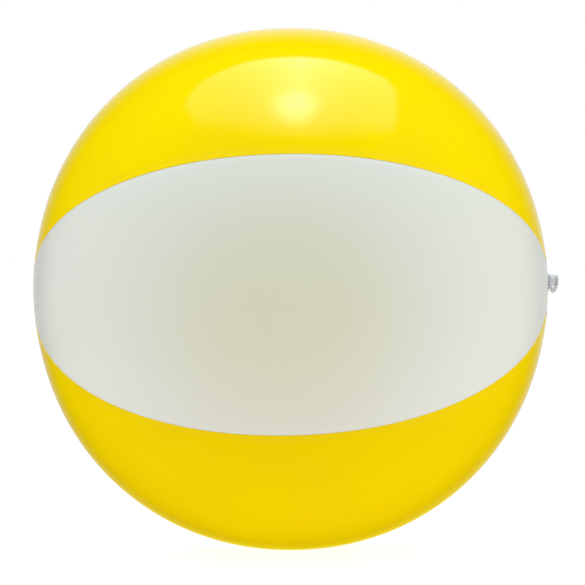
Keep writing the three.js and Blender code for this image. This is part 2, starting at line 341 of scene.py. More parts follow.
# %% End disc helper
DISC_LIFT = 0.04 * MM
DISC_ROWS = 48
DISC_COLUMNS = 144
RING_RADII = (25.6 * MM, 28.3 * MM)
RING_WIDTH = 0.45 * MM
RING_DEPTH = 0.07 * MM
RIDGE_HEIGHT = 0.1 * MM
RIDGE_WIDTH = 1.8 * MM
RIDGE_FULL = 1.2
RIM_ROUND = 0.35 * MM
RIM_DROP = 0.35
ROW_CROWDING = 0.9
RECESS_RADIUS = 9 * MM

plug_low, plug_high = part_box("valve_plug")
valve_height = (plug_low.z + plug_high.z) / 2
disc_radius = (disc_high.z - disc_low.z) / 2


def disc_relief(radius, turn):
    rings = sum(np.exp(-(((radius - ring) / RING_WIDTH) ** 2)) for ring in RING_RADII)
    from_white = np.abs(np.mod(turn + PITCH, 2 * PITCH) - PITCH)
    from_ridge = (from_white - seam_turn("white", radius)) * radius
    ridges = np.exp(-((from_ridge / RIDGE_WIDTH) ** 2))
    ridges = ridges * ramp(radius, TIP_RADIUS, RIDGE_FULL * TIP_RADIUS)
    drop = RIM_ROUND * RIM_DROP * ramp(radius, disc_radius - RIM_ROUND, disc_radius)
    return RIDGE_HEIGHT * ridges - RING_DEPTH * rings - drop


def disc_grid(end, hole_radius, hole_height):
    share = np.linspace(0, 1, DISC_ROWS)[:, None] ** ROW_CROWDING
    around = np.arange(DISC_COLUMNS) * math.tau / DISC_COLUMNS
    side = (1 - share) * hole_radius * np.cos(around) + share * disc_radius * np.cos(around)
    rise = (1 - share) * (hole_height + hole_radius * np.sin(around))
    rise = rise + share * disc_radius * np.sin(around)
    radius = np.hypot(side, rise)
    turn = np.arctan2(rise, side)
    lift = DISC_LIFT + disc_relief(radius, turn)
    angle = end * angle_at(radius)
    return film_points(angle, turn, -lift - FILM), film_points(angle, turn, -lift)


def ring_faces(rows, columns, closed):
    faces = []
    for i in range(rows if closed else rows - 1):
        for j in range(columns):
            a, b = i * columns + j, i * columns + (j + 1) % columns
            step = columns if i + 1 < rows else -i * columns
            faces.append([a, b, b + step, a + step])
    return faces


def capped_faces(rows, columns):
    last = (rows - 1) * columns
    faces = ring_faces(rows, columns, False)
    faces.append(list(range(columns)))
    faces.append([last + j for j in range(columns)])
    return faces


print("discs", round(2 * disc_radius / MM, 1), "mm across")

# %% Two end discs
BLIND_START = 1 * MM


def make_disc(name, node, end, hole_radius, hole_height, has_hole):
    outer, inner = disc_grid(end, hole_radius, hole_height)
    points = np.concatenate([outer, inner[::-1]]).reshape(-1, 3)
    rows = 2 * DISC_ROWS
    if has_hole:
        faces = ring_faces(rows, DISC_COLUMNS, True)
    else:
        faces = capped_faces(rows, DISC_COLUMNS)
    return finish_piece(mesh_object(name, points, faces), node, "white_film", "ball")


valve_disc = make_disc(
    "disc_at_valve", "valve_end_disc", 1, RECESS_RADIUS, valve_height - centre_height, True,
)
blind_disc = make_disc("disc_at_blind_end", "blind_end_disc", -1, BLIND_START, 0, False)

# %% [markdown]
# ## The valve's turned parts
# The valve is moulded in soft clear vinyl. Flange, web, neck and plug are round, so each is a
# profile turned about the valve's axis. The profiles are drawn with square corners and then
# every corner is eased, because a soft moulding has no hard edge. Sizes are in millimetres from
# the outer face of the disc, and the last step sets them on the valve's axis. Clear vinyl looks
# darker where it is thick, so each piece also keeps a measure of its bulk for the finish. On the
# stem that measure also holds painted shade, greyer at the neck and collar by the web.

# %% Turned profile helpers
TURN_STEPS = 64
EASE_STEPS = 4
EASE_SHARE = 0.45
TINY = 1e-9


def toward(here, other, radius):
    length = np.linalg.norm(other - here)
    return here + (other - here) / max(length, TINY) * min(radius, EASE_SHARE * length)


def eased(profile, radius):
    points = [np.array(point, float) for point in profile]
    soft = []
    for before, here, after in zip(points[-1:] + points[:-1], points, points[1:] + points[:1]):
        start, end = [toward(here, other, radius) for other in (before, after)]
        for t in np.linspace(0, 1, EASE_STEPS + 1):
            soft.append((1 - t) ** 2 * start + 2 * t * (1 - t) * here + t * t * end)
    return np.array(soft)


def on_valve_axis(points):
    return np.asarray(points) * MM + np.array([disc_face, 0, valve_height])


def turned_points(outline):
    around = np.arange(TURN_STEPS) * math.tau / TURN_STEPS
    x = np.repeat(outline[:, :1], TURN_STEPS, axis=1)
    points = np.stack([x, outline[:, 1:] * np.cos(around), outline[:, 1:] * np.sin(around)], -1)
    return on_valve_axis(points.reshape(-1, 3))


def turned_ring(name, profile, radius):
    outline = eased(profile, radius)
    return mesh_object(name, turned_points(outline), ring_faces(len(outline), TURN_STEPS, True))


# Each piece keeps a measure of bulk; on the stem it also holds painted shade
def keep_bulk_and_shade(piece, bulk_and_shade):
    places = np.empty(3 * len(piece.data.vertices), np.float32)
    piece.data.vertices.foreach_get("co", places)
    measure = piece.data.attributes.new("bulk_and_shade", "FLOAT", "POINT")
    values = np.broadcast_to(bulk_and_shade((places[::3] - disc_face) / MM), len(places) // 3)
    measure.data.foreach_set("value", values.astype(np.float32))


print("valve axis", round((valve_height - centre_height) / MM, 2), "mm over the ball's centre")

# %% [markdown]
# ## Flange
# The flange is the flat ring that is welded under the disc and holds the valve in the ball. It
# could be a ready-made ring with a bevel, but a turned profile has its eased edges at once.

# %% Flange
FLANGE_RADIUS = 13
FLANGE_EDGE = 0.3
recess_edge = RECESS_RADIUS / MM
flange_low, flange_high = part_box("valve_flange")
flange_base = (flange_low.x - disc_face) / MM
flange_top = (flange_high.x - disc_face) / MM
flange = turned_ring("valve_flange_ring", [
    (flange_base, FLANGE_RADIUS), (flange_top, FLANGE_RADIUS),
    (flange_top, recess_edge), (flange_base, recess_edge),
], FLANGE_EDGE)
finish_piece(flange, "valve_flange", "clear_vinyl", "ball")

# %% [markdown]
# ## Web
# The web is the thin skin between flange and neck that lets the valve be pushed into the ball. It
# could be cut in two at a hinge, but soft vinyl bends all along. So it is one skin. When the
# valve sinks, the web turns inside out like a shallow cup.

# %% Web
WEB_THICKNESS = 0.5
WEB_RADII = (8.95, 3.45)
WEB_BEND = 0.14
WEB_STEPS = 24
WEB_EDGE = 0.15
FOLD_END = 4.9
web_low, web_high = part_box("valve_web")
web_rim = (web_low.x - disc_face) / MM + WEB_THICKNESS
web_crown = (web_high.x - disc_face) / MM
web_slope = (web_crown - web_rim) / (WEB_RADII[0] - WEB_RADII[1])


def web_face(reach):
    return web_rim + web_slope * (WEB_RADII[0] - reach)


def web_profile():
    share = np.linspace(0, 1, WEB_STEPS)
    radius = WEB_RADII[0] + (WEB_RADII[1] - WEB_RADII[0]) * share
    top = web_face(radius) + WEB_BEND * np.sin(math.tau * (share - 0.5))
    upper = np.stack([top, radius], axis=-1)
    lower = np.stack([top - WEB_THICKNESS, radius], axis=-1)
    return np.concatenate([upper, lower[::-1]])


web = turned_ring("valve_web_skin", web_profile(), WEB_EDGE)
finish_piece(web, "valve_web", "clear_vinyl")
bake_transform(web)

# %% [markdown]
# ## Stem
# The stem is the tube that the air goes through: a neck inside the ball, a collar, a groove and
# a thicker lip that the plug sits in. Rings could be stacked for these, but one closed profile,
# turned once, has no walls inside it and stays a single mesh.

# %% Stem
NECK = 3.4
COLLAR = 3.8
LIP = 3.7
BORE = 2.4
COLLAR_SPAN = (0.9, 2.1)
WAIST = 3.6
LIP_SPAN = (2.5, 4.8)
STEM_EDGE = 0.22
neck_end = (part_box("valve_stem")[0].x - disc_face) / MM

stem = turned_ring("valve_stem_tube", [
    (neck_end, NECK), (COLLAR_SPAN[0], NECK), (COLLAR_SPAN[0], COLLAR),
    (COLLAR_SPAN[1], COLLAR), (COLLAR_SPAN[1], WAIST), (LIP_SPAN[0], WAIST),
    (LIP_SPAN[0], LIP), (LIP_SPAN[1], LIP), (LIP_SPAN[1], BORE), (neck_end, BORE),
], STEM_EDGE)
finish_piece(stem, "valve_stem", "clear_vinyl", "valve")

# %% [markdown]
# ## Tongue
# A small tongue grows from the collar's underside, lies on the web and holds the strap's root. It
# could be joined to the tube with a boolean, but it has to bend with the web when the valve sinks,
# so it stays a mesh of its own that starts inside the collar's wall. It is a rounded strip carried
# along between two lines, one that lies on the web and one above it.

# %% Tongue
STRAP_WIDTH = 2.6
STRAP_THICKNESS = 2.0
STRAP_ROOT = FOLD_END
STRAP_GAP = 0.3
STRIP_EDGE = 0.3
TONGUE_START = 2.9
TONGUE_REACH = 8.2
TONGUE_LIFT = 0.12
TONGUE_THICKNESS = 1.38
TONGUE_STEP = 0.1
TONGUE_STEPS = 40


def strip(name, first_line, second_line):
    half = STRAP_WIDTH / 2
    section = eased([(-half, -1), (half, -1), (half, 1), (-half, 1)], STRIP_EDGE)
    rings = []
    for middle, reach in zip((first_line + second_line) / 2, (second_line - first_line) / 2):
        flat = middle + section[:, 1:] * reach
        rings.append(np.stack([flat[:, 0], section[:, 0], flat[:, 1]], axis=-1))
    faces = capped_faces(len(rings), len(section))
    return mesh_object(name, on_valve_axis(np.concatenate(rings)), faces)


def tongue_top(reach):
    return web_face(reach) + TONGUE_LIFT + TONGUE_THICKNESS


strap_near = tongue_top(STRAP_ROOT) + STRAP_GAP
reaches = np.linspace(TONGUE_START, TONGUE_REACH, TONGUE_STEPS)
reaches = np.sort(np.append(reaches, [COLLAR, STRAP_ROOT, STRAP_ROOT + TONGUE_STEP]))
under = np.interp(reaches, [TONGUE_START, COLLAR, TONGUE_REACH], [
    COLLAR_SPAN[0], web_face(COLLAR) + TONGUE_LIFT, web_face(TONGUE_REACH) + TONGUE_LIFT,
])
over = np.interp(reaches, [COLLAR, STRAP_ROOT, STRAP_ROOT + TONGUE_STEP, TONGUE_REACH], [
    COLLAR_SPAN[1], strap_near + STRAP_THICKNESS,
    tongue_top(STRAP_ROOT + TONGUE_STEP), tongue_top(TONGUE_REACH),
])
tongue = strip(
    "valve_strap_tongue", np.stack([under, -reaches], axis=-1), np.stack([over, -reaches], axis=-1)
)
finish_piece(tongue, "valve_stem", "clear_vinyl")
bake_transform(tongue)

# %% [markdown]
# ## Plug
# The plug is pressed into the bore and has a flat head to pull it by, with a shallow dish in it.
# It is a turned profile like the stem, but a solid one. Its outline stops just short of the axis
# and one small face closes it there, because faces that meet in a point would shade badly.

# %% Plug
SHANK = 2.25
SHANK_LENGTH = 3.8
SHANK_CHAMFER = 0.5
HEAD = 3.1
HEAD_SPAN = (4.86, 7.0)
HEAD_DISH = 0.18
DISH_RIM = 0.7
DISH_WALL = 1.1
PLUG_EDGE = 0.25
AXIS_GAP = 0.05


def turned_solid(name, profile, radius):
    outline = eased(profile, radius)
    outline = outline[outline[:, 1] > AXIS_GAP]
    return mesh_object(name, turned_points(outline), capped_faces(len(outline), TURN_STEPS))


shank_end = LIP_SPAN[1] - SHANK_LENGTH
plug = turned_solid("valve_plug_stopper", [
    (shank_end, 0), (shank_end, SHANK - SHANK_CHAMFER), (shank_end + SHANK_CHAMFER, SHANK),
    (HEAD_SPAN[0], SHANK), (HEAD_SPAN[0], HEAD), (HEAD_SPAN[1], HEAD),
    (HEAD_SPAN[1], HEAD - DISH_RIM), (HEAD_SPAN[1] - HEAD_DISH, HEAD - DISH_WALL),
    (HEAD_SPAN[1] - HEAD_DISH, 0),
], PLUG_EDGE)
finish_piece(plug, "valve_plug", "clear_vinyl", "plug")

# %% [markdown]
# ## Strap
# A thin strap keeps the plug from getting lost: it hangs from the tongue, sags, and comes up under
# the plug's head. A curve with a bevel could make it, but the soft strap is bent so tightly that it
# bulges. So its outer and its inner line are two curves of their own, each with four control
# points, and a rounded strip is carried along between them.

# %% Strap
STRAP_STEPS = 40
STRAP_OUTER_LOWEST = -8.15
STRAP_INNER_LOWEST = -4.3
STRAP_LEAN = 1.2
STRAP_BITE = 0.35
strap_root = np.array([strap_near + STRAP_THICKNESS / 2, -STRAP_ROOT - STRAP_GAP + STRAP_BITE])
strap_head = np.array([(HEAD_SPAN[0] + HEAD_SPAN[1]) / 2, -HEAD - STRAP_GAP + STRAP_BITE])


def strap_line(t, offset, lowest, lean):
    # Half way along, the curve lies at its lowest height
    pull = (8 * lowest - strap_root[1] - strap_head[1]) / 6
    root = strap_root - (offset, 0)
    head = strap_head + (offset, 0)
    controls = [root, (root[0], pull), (head[0] - lean, pull), head]
    weights = [(1 - t) ** 3, 3 * t * (1 - t) ** 2, 3 * t * t * (1 - t), t**3]
    return sum(weight[:, None] * np.array(point) for weight, point in zip(weights, controls))


t = np.linspace(0, 1, STRAP_STEPS)
outer = strap_line(t, STRAP_THICKNESS / 2, STRAP_OUTER_LOWEST, STRAP_LEAN)
inner = strap_line(t, -STRAP_THICKNESS / 2, STRAP_INNER_LOWEST, 0)
strap = finish_piece(strip("valve_plug_strap", outer, inner), "plug_strap", "clear_vinyl")
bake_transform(strap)

# %% [markdown]
# ## Flap
# Inside the ball a small round flap hangs against the end of the neck. Air coming in swings it
# open, and the air inside presses it shut. It is a thin leaf with one straight edge, its hinge. A
# flattened cylinder would do from afar, but four rings give the leaf its eased edges.

# %% Flap
FLAP_STEPS = 48
FLAP_EDGE = 0.12
flap_low, flap_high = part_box("check_flap")
hinge_rise = (flap_high.z - valve_height) / MM
flap_radius = flap_high.y / MM
flap_span = [(corner.x - disc_face) / MM for corner in (flap_low, flap_high)]


def make_flap():
    cut = math.asin(min(1, hinge_rise / flap_radius))
    around = np.linspace(math.pi - cut, math.tau + cut, FLAP_STEPS)
    rim = np.stack([np.cos(around), np.sin(around)], axis=-1)
    levels = [
        (flap_span[0], flap_radius - FLAP_EDGE), (flap_span[0] + FLAP_EDGE, flap_radius),
        (flap_span[1] - FLAP_EDGE, flap_radius), (flap_span[1], flap_radius - FLAP_EDGE),
    ]
    rings = []
    for x, radius in levels:
        ring = rim * radius
        ring[:, 1] = np.minimum(ring[:, 1], hinge_rise)
        rings.append(np.stack([np.full(FLAP_STEPS, x), ring[:, 0], ring[:, 1]], axis=-1))
    faces = capped_faces(len(levels), FLAP_STEPS)
    return mesh_object("check_flap_leaf", on_valve_axis(np.concatenate(rings)), faces)


flap = finish_piece(make_flap(), "check_flap", "clear_vinyl", "flap")

# %% [markdown]
# ## Effects that the finishes share
# Three effects turn up in more than one finish, so each is a node group with its own inputs:
# the faint unevenness of rolled film and of moulded vinyl, the dull marks of handling, and the
# fine ribs that the welding tool prints along a lap. They put out heights and masks only, and
# each material decides what to do with them.

# %% Node helpers
def add(tree, kind, **settings):
    made = tree.nodes.new("ShaderNode" + kind)
    for name, value in settings.items():
        setattr(made, name, value)
    return made


def feed(tree, socket, value):
    if isinstance(value, bpy.types.NodeSocket):
        tree.links.new(value, socket)
    else:
        socket.default_value = value


def calc(tree, operation, *values):
    made = add(tree, "Math", operation=operation)
    for socket, value in zip(made.inputs, values):
        feed(tree, socket, value)
    return made.outputs[0]


def spread(tree, value, from_low, from_high, to_low, to_high, smooth=True):
    made = add(tree, "MapRange", interpolation_type="SMOOTHSTEP" if smooth else "LINEAR")
    for socket, number in zip(made.inputs, (value, from_low, from_high, to_low, to_high)):
        feed(tree, socket, number)
    return made.outputs[0]


def noise(tree, vector, scale, detail, roughness=0.5):
    made = add(tree, "TexNoise")
    feed(tree, made.inputs["Vector"], vector)
    feed(tree, made.inputs["Scale"], scale)
    feed(tree, made.inputs["Detail"], detail)
    feed(tree, made.inputs["Roughness"], roughness)
    return made.outputs["Fac"]


def mixed(tree, share, first, second, blend="MIX"):
    made = add(tree, "Mix", data_type="RGBA", blend_type=blend)
    feed(tree, made.inputs[0], share)
    feed(tree, made.inputs[6], first)
    feed(tree, made.inputs[7], second)
    return made.outputs[2]


def new_group(name, inputs, outputs):
    tree = bpy.data.node_groups.new(name, "ShaderNodeTree")
    for label, value in inputs.items():
        tree.interface.new_socket(
            label, in_out="INPUT", socket_type="NodeSocketFloat",
        ).default_value = value
    for label in outputs:
        tree.interface.new_socket(label, in_out="OUTPUT", socket_type="NodeSocketFloat")
    return tree, tree.nodes.new("NodeGroupInput"), tree.nodes.new("NodeGroupOutput")


print("helpers for nodes are ready")

# %% Uneven surface
FINE_DETAIL = 2.0
BROAD_DETAIL = 3.0

peel, peel_in, peel_out = new_group(
    "uneven_surface", {"Fine Scale": 900.0, "Broad Scale": 30.0, "Broad Share": 0.5},
    ["Height", "Variation"],
)
place_on = add(peel, "TexCoord").outputs["Object"]
fine = noise(peel, place_on, peel_in.outputs["Fine Scale"], FINE_DETAIL)
broad = noise(peel, place_on, peel_in.outputs["Broad Scale"], BROAD_DETAIL)
broad_part = calc(peel, "MULTIPLY", broad, peel_in.outputs["Broad Share"])
feed(peel, peel_out.inputs["Height"], calc(peel, "ADD", fine, broad_part))
feed(peel, peel_out.inputs["Variation"], broad)
print("group", peel.name, "made")

# %% Handling marks
RUB_DETAIL = 5.0
RUB_ROUGHNESS = 0.62
RUB_SPAN = (0.55, 0.78)
PATCH_SCALE = 9.0
PATCH_DETAIL = 2.0
PATCH_SPAN = (0.42, 0.68)

marks, marks_in, marks_out = new_group(
    "handling_marks", {"Scale": 60.0, "Amount": 0.5}, ["Mask"],
)
marks_on = add(marks, "TexCoord").outputs["Object"]
cloud = noise(marks, marks_on, marks_in.outputs["Scale"], RUB_DETAIL, RUB_ROUGHNESS)
patch = noise(marks, marks_on, PATCH_SCALE, PATCH_DETAIL)
rubbed = spread(marks, cloud, *RUB_SPAN, 0.0, 1.0)
where = spread(marks, patch, *PATCH_SPAN, 0.0, 1.0)
marked = calc(marks, "MULTIPLY", rubbed, where)
feed(marks, marks_out.inputs["Mask"], calc(marks, "MULTIPLY", marked, marks_in.outputs["Amount"]))
print("group", marks.name, "made")

# %% Weld print
LAP_SOFTNESS = 0.3 * MM

weld, weld_in, weld_out = new_group(
    "weld_print", {"Half Width": 2.5 * MM, "Rib Pitch": 1.3 * MM}, ["Mask", "Height"],
)
past_seam = add(weld, "Attribute", attribute_name="past_seam").outputs["Fac"]
along_seam = add(weld, "Attribute", attribute_name="along_seam").outputs["Fac"]
inside = calc(weld, "ADD", past_seam, weld_in.outputs["Half Width"])
on_lap = spread(weld, inside, -LAP_SOFTNESS, LAP_SOFTNESS, 0.0, 1.0)
turns = calc(weld, "DIVIDE", along_seam, weld_in.outputs["Rib Pitch"])
rib = calc(weld, "SINE", calc(weld, "MULTIPLY", turns, math.tau))
feed(weld, weld_out.inputs["Mask"], on_lap)
feed(weld, weld_out.inputs["Height"], calc(weld, "MULTIPLY", rib, on_lap))
print("group", weld.name, "made")

# %% [markdown]
# ## Finishes
# All three finishes are vinyl, so each is one Principled shader. A node group only changes its
# colour, roughness and normal. What both films have in common, the slight unevenness, the rubbed
# spots and the ribs of the weld, is set up by one function, and each film adds its own dye. The
# white film's colour also holds painted light.

# %% Material helper
def new_material(name, **values):
    material = bpy.data.materials.new(name)
    material.use_nodes = True
    tree = material.node_tree
    shader = tree.nodes["Principled BSDF"]
    for label, value in values.items():
        shader.inputs[label.replace("_", " ")].default_value = value
    return material, tree, shader


def use(tree, group, **values):
    made = add(tree, "Group")
    made.node_tree = group
    for label, value in values.items():
        made.inputs[label.replace("_", " ")].default_value = value
    return made.outputs


def bump(tree, height, strength, distance):
    made = add(tree, "Bump")
    made.inputs["Strength"].default_value = strength
    made.inputs["Distance"].default_value = distance
    feed(tree, made.inputs["Height"], height)
    return made.outputs["Normal"]


VARIATION_SPAN = (0.3, 0.7)
RUB_DULLNESS = 0.06
WELD_DULLNESS = 0.05
RIB_SHARE = 3.0
FILM_BUMP = 0.12
FILM_RELIEF = 0.02 * MM


def film_finish(tree, shader, smooth, dull):
    surface = use(tree, peel, Fine_Scale=700.0, Broad_Scale=26.0, Broad_Share=6.0)
    rubs = use(tree, marks, Scale=70.0, Amount=0.6)
    print_on = use(tree, weld)
    gloss = spread(tree, surface["Variation"], *VARIATION_SPAN, smooth, dull)
    gloss = calc(tree, "ADD", gloss, calc(tree, "MULTIPLY", rubs["Mask"], RUB_DULLNESS))
    gloss = calc(tree, "ADD", gloss, calc(tree, "MULTIPLY", print_on["Mask"], WELD_DULLNESS))
    feed(tree, shader.inputs["Roughness"], gloss)
    ribs = calc(tree, "MULTIPLY", print_on["Height"], RIB_SHARE)
    relief = calc(tree, "ADD", surface["Height"], ribs)
    feed(tree, shader.inputs["Normal"], bump(tree, relief, FILM_BUMP, FILM_RELIEF))
    return surface["Variation"], print_on["Mask"]


print("helpers for finishes are ready")

# %% [markdown]
# ## Yellow film
# The yellow film is strongly dyed and glossy, so no light from inside shows through it. It could
# be one flat colour, but rolled film is never dyed quite evenly, and it looks deeper where two
# films lie on each other. So two yellows are mixed, by the unevenness and along the weld.

# %% Yellow film
YELLOW = (0.91, 0.675, 0.0, 1)
YELLOW_DEEP = (0.87, 0.63, 0.0, 1)
YELLOW_GLOSS = (0.045, 0.075)
DEEP_SPAN = (0.35, 0.65)
DEEP_SHARE = 0.35
DEEP_WELD = 0.35

yellow_film, tree, shader = new_material("yellow_film", IOR=1.5)
variation, weld_mask = film_finish(tree, shader, *YELLOW_GLOSS)
deep = spread(tree, variation, *DEEP_SPAN, 0.0, DEEP_SHARE)
dye = mixed(tree, deep, YELLOW, YELLOW_DEEP)
dye = mixed(tree, calc(tree, "MULTIPLY", weld_mask, DEEP_WELD), dye, YELLOW_DEEP)
feed(tree, shader.inputs["Base Color"], dye)
print(yellow_film.name, "made")

# %% [markdown]
# ## White film
# The white film is thinner in colour: light from the yellow far side comes through the middle of
# each white gore and tints it beige, while the edges stay cool. That beige is painted light: a
# patch painted into the middle of every white gore. The film is also painted lighter low on the
# ball and darker high up. This is a painted stand-in for light from the floor, which comes through
# the ball from below and is mirrored by the lower film. Both could be had from a translucent shader
# and light inside the ball, but a tint that follows the place on the gore is the same from every
# side and under every lamp, so it is written in the finish.

# %% White film
# Painted light in the white film's colour: lighter low down, darker high up, and a beige patch
# mid-gore
WHITE_UPPER_PAINTED_SHADE = (0.692, 0.7, 0.652, 1)
WHITE_LOWER_PAINTED_LIGHT = (0.75, 0.768, 0.73, 1)
PAINTED_LIGHT_HEIGHT_SPAN = 47 * MM
PAINTED_THROUGH_LIGHT = (0.998, 0.971, 0.8, 1)
THROUGH_LENGTH = 74 * MM
THROUGH_WIDTH = 69 * MM
THROUGH_SHIFT = -12 * MM
THROUGH_STEEPNESS = 1.5
WHITE_LAP = (0.74, 0.745, 0.68, 1)
WHITE_GLOSS = (0.05, 0.085)
THROUGH_LEAST = 0.93
LAP_SHARE = 0.5

white_film, tree, shader = new_material("white_film", IOR=1.5)
variation, weld_mask = film_finish(tree, shader, *WHITE_GLOSS)
split = add(tree, "SeparateXYZ")
feed(tree, split.inputs[0], add(tree, "TexCoord").outputs["Object"])
rise = calc(tree, "SUBTRACT", split.outputs["Z"], centre_height)
facing = calc(tree, "MULTIPLY", split.outputs["Y"], -1.0)
turn = calc(tree, "ARCTAN2", rise, facing)
local = calc(tree, "WRAP", turn, PITCH, -PITCH)
across = calc(tree, "MULTIPLY", local, equator_radius)
across = calc(tree, "DIVIDE", calc(tree, "SUBTRACT", across, THROUGH_SHIFT), THROUGH_WIDTH)
length = calc(tree, "DIVIDE", split.outputs["X"], THROUGH_LENGTH)
square = calc(tree, "MULTIPLY", across, across)
square = calc(tree, "MULTIPLY_ADD", length, length, square)
far = calc(tree, "POWER", square, THROUGH_STEEPNESS)
# Painted light: a beige patch, strongest in the middle of each white gore, stands in for light from
# the yellow far side
painted_through_mask = calc(tree, "EXPONENT", calc(tree, "MULTIPLY", far, -1.0))
uneven = spread(tree, variation, *VARIATION_SPAN, THROUGH_LEAST, 1.0)
# Painted light by height: lighter low on the ball and darker high up, standing in for light from
# the floor
high = spread(tree, rise, -PAINTED_LIGHT_HEIGHT_SPAN, PAINTED_LIGHT_HEIGHT_SPAN, 0.0, 1.0, False)
white_with_painted_light = mixed(tree, high, WHITE_LOWER_PAINTED_LIGHT, WHITE_UPPER_PAINTED_SHADE)
white_with_painted_light = mixed(tree, calc(tree, "MULTIPLY", painted_through_mask, uneven), white_with_painted_light, PAINTED_THROUGH_LIGHT, "MULTIPLY")
white_with_painted_light = mixed(tree, calc(tree, "MULTIPLY", weld_mask, LAP_SHARE), white_with_painted_light, WHITE_LAP)
feed(tree, shader.inputs["Base Color"], white_with_painted_light)
print(white_film.name, "made")

# %% [markdown]
# ## Clear vinyl
# The valve is moulded in clear vinyl that has gone a little cloudy. It lets some light through and
# looks greyer where it is thick. That could come from a volume inside the mesh, which is slow and
# noisy on a piece this small, so the measure of bulk that each piece keeps mixes two greys. The
# same measure also carries painted shade: the stem's neck and collar, where it meets the web, are
# painted greyer than its lip.

# %% Clear vinyl of the valve
VINYL = (0.83, 0.87, 0.89, 1)
VINYL_THICK_AND_SHADED = (0.56, 0.575, 0.6, 1)
CLOUD_SPAN = (0.35, 0.65)
CLOUD_SHARE = 0.15
VINYL_DULLNESS = 0.24
VINYL_RUBS = 0.2
VINYL_BUMP = 0.25
VINYL_RELIEF = 0.03 * MM

clear_vinyl, tree, shader = new_material("clear_vinyl", IOR=1.45, Transmission_Weight=0.2)
surface = use(tree, peel, Fine_Scale=2600.0, Broad_Scale=420.0, Broad_Share=1.5)
rubs = use(tree, marks, Scale=900.0, Amount=0.8)
cloudy = spread(tree, surface["Variation"], *CLOUD_SPAN, 0.0, CLOUD_SHARE)
bulk_and_shade = add(tree, "Attribute", attribute_name="bulk_and_shade").outputs["Fac"]
# Thick vinyl and the painted shade at the stem's base both mix in the darker grey
depth = calc(tree, "MINIMUM", calc(tree, "ADD", bulk_and_shade, cloudy), 1.0)
feed(tree, shader.inputs["Base Color"], mixed(tree, depth, VINYL, VINYL_THICK_AND_SHADED))
dulled = calc(tree, "ADD", calc(tree, "MULTIPLY", rubs["Mask"], VINYL_RUBS), VINYL_DULLNESS)
feed(tree, shader.inputs["Roughness"], dulled)
feed(tree, shader.inputs["Normal"], bump(tree, surface["Height"], VINYL_BUMP, VINYL_RELIEF))
print(clear_vinyl.name, "made")

# %% Give each piece its finish
THIN_BULK = 0.1
PLUG_BULK = 0.9
TONGUE_BULK = 0.5
STEM_BASE_PAINTED_SHADE = 0.65

for piece in (flange, web, strap, flap):
    keep_bulk_and_shade(piece, lambda x: THIN_BULK)
keep_bulk_and_shade(plug, lambda x: PLUG_BULK)
keep_bulk_and_shade(tongue, lambda x: TONGUE_BULK)
# Painted shade: the stem is greyer at its neck and collar, where it meets the web, and clear at its
# lip
keep_bulk_and_shade(stem, lambda x: ramp(x, LIP_SPAN[0], COLLAR_SPAN[1]) * STEM_BASE_PAINTED_SHADE)

finishes = {"yellow_film": yellow_film, "white_film": white_film, "clear_vinyl": clear_vinyl}
dressed = gores + [valve_disc, blind_disc, flange, web, stem, tongue, plug, strap, flap]
for piece in dressed:
    piece.data.materials.clear()
    piece.data.materials.append(finishes[piece["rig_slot"]])
print(len(dressed), "pieces have their finish")

# %% [markdown]
# ## Floor
# The ball lies on a pale floor that runs into a white background. Seen by the camera the floor
# is white by itself, and the part of its light that the ball can block is small, so only a faint
# shadow stays where the ball touches it.

# %% Floor
FLOOR_HALF = 6.0
FLOOR_CELLS = 8
FLOOR_COLOUR = (0.2, 0.2, 0.2, 1)
FLOOR_GLOW = 0.9
PLAIN_WHITE = (1, 1, 1, 1)


def floor_mesh():
    line = np.linspace(-FLOOR_HALF, FLOOR_HALF, FLOOR_CELLS + 1)
    points = [(x, y, 0) for y in line for x in line]
    step = FLOOR_CELLS + 1
    faces = [
        [j * step + i, j * step + i + 1, (j + 1) * step + i + 1, (j + 1) * step + i]
        for j in range(FLOOR_CELLS) for i in range(FLOOR_CELLS)
    ]
    return mesh_object("floor", points, faces)


floor = floor_mesh()
floor_paint, tree, shader = new_material(
    "floor_paint", Base_Color=FLOOR_COLOUR, Roughness=0.9, Specular_IOR_Level=0.0,
    Emission_Color=PLAIN_WHITE,
)
path = add(tree, "LightPath").outputs
seen = calc(tree, "MAXIMUM", path["Is Camera Ray"], path["Is Transmission Ray"])
seen = calc(tree, "MAXIMUM", seen, path["Is Glossy Ray"])
feed(tree, shader.inputs["Emission Strength"], calc(tree, "MULTIPLY", seen, FLOOR_GLOW))
floor.data.materials.append(floor_paint)
floor.visible_diffuse = False
floor.visible_glossy = False
print("floor", 2 * FLOOR_HALF, "m wide")

# %% [markdown]
# ## Light all round
# The studio is white behind the ball and dim towards the camera. The world gives the soft light
# from all round, stronger and cooler from above, warmer from the floor, and stronger from both
# sides than from the front. Lamps on every side could do the same, but a few sums on the direction
# of a ray are smoother. Mirrored rays see only the backdrop behind the ball, so the film gets a
# pale rim, and low down the floor, which takes on the ball's yellow.

# %% World
EVEN_LIGHT = 0.22
FROM_VALVE_SIDE = 0.056
FROM_BOTH_SIDES = 1.2
FROM_ABOVE = 0.22
FROM_TOP_AND_FLOOR = 1.65
ROOM_GLOW = 0.003
BACKDROP_GLOW = 0.88
BACKDROP_EDGE = 0.75
BACKDROP_RISE = 0.07
BACKDROP_SIDE = 0.45
BACKDROP_ABOVE = 0.8
BACKDROP_BELOW = 0.7
COLOUR_ABOVE = (0.96, 1.05, 1.06, 1)
COLOUR_BELOW = (1.05, 0.97, 0.9, 1)
FLOOR_TINT = (1.35, 1.1, 0.04, 1)
FLOOR_TINT_WIDTH = 0.5
FLOOR_TINT_SPAN = (-0.3, -0.1)

